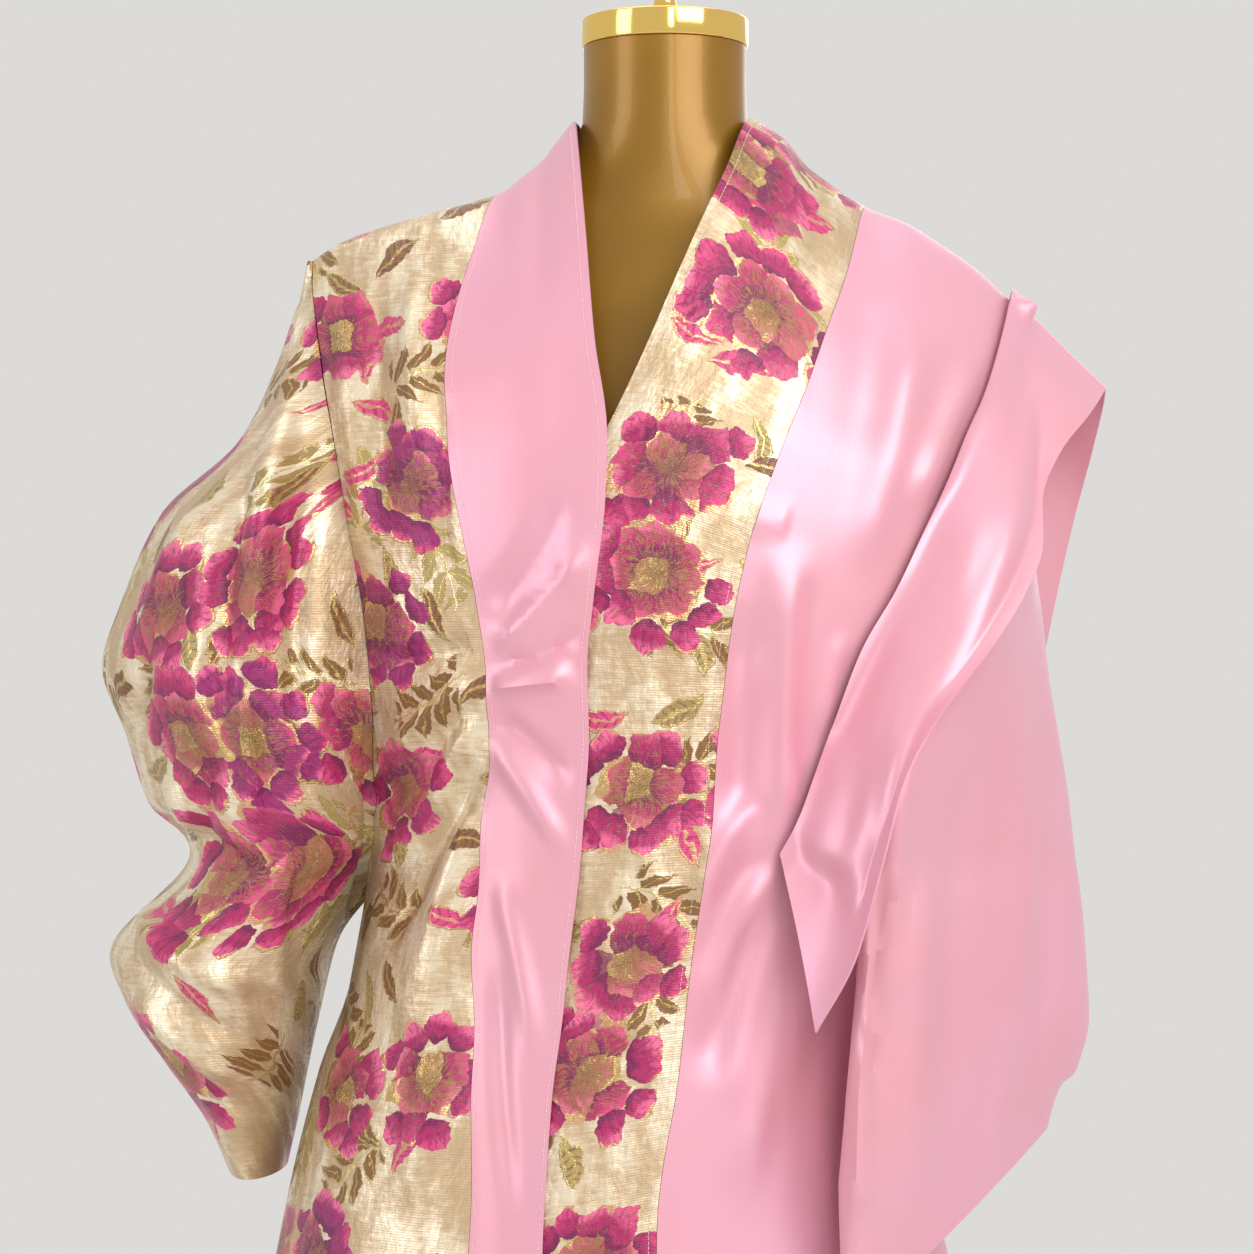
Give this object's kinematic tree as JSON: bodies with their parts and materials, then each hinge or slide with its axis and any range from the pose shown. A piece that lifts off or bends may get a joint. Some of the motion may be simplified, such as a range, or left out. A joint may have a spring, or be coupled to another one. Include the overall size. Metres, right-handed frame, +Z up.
{
  "type": "brocade dress on a dress form",
  "caption": "Floor-length open-necked robe dress, one half floral brocade and the other satin, with contrasting front bands and wide sleeves, on a limbless dress form with a pole stand.",
  "frame": {"origin": "centre of the stand base's underside, on the floor", "axes": "+Z up; -Y is the dress's front; +X is the wearer's left"},
  "size_m": [0.7049, 0.4684, 1.5776],
  "materials": {
    "brocade": "champagne floral brocade with a fine rib, gold metallic thread and pink and magenta flowers",
    "satin": "heavy pink satin with broad pale lilac sheen",
    "form": "bronze-brown satin lacquer",
    "gold": "polished gold-coloured metal"
  },
  "bodies": {
    "root": {"band_right": "satin", "band_left": "brocade", "front_right": "brocade", "front_left": "satin", "back_right": "brocade", "back_left": "satin", "sleeve_right": "brocade", "sleeve_left": "satin", "shoulder_flap_left": "satin", "form_torso": "form", "neck_cap": "gold", "cap_knob": "gold", "stand_pole": "gold", "stand_base": "gold"}
  },
  "joints": []
}
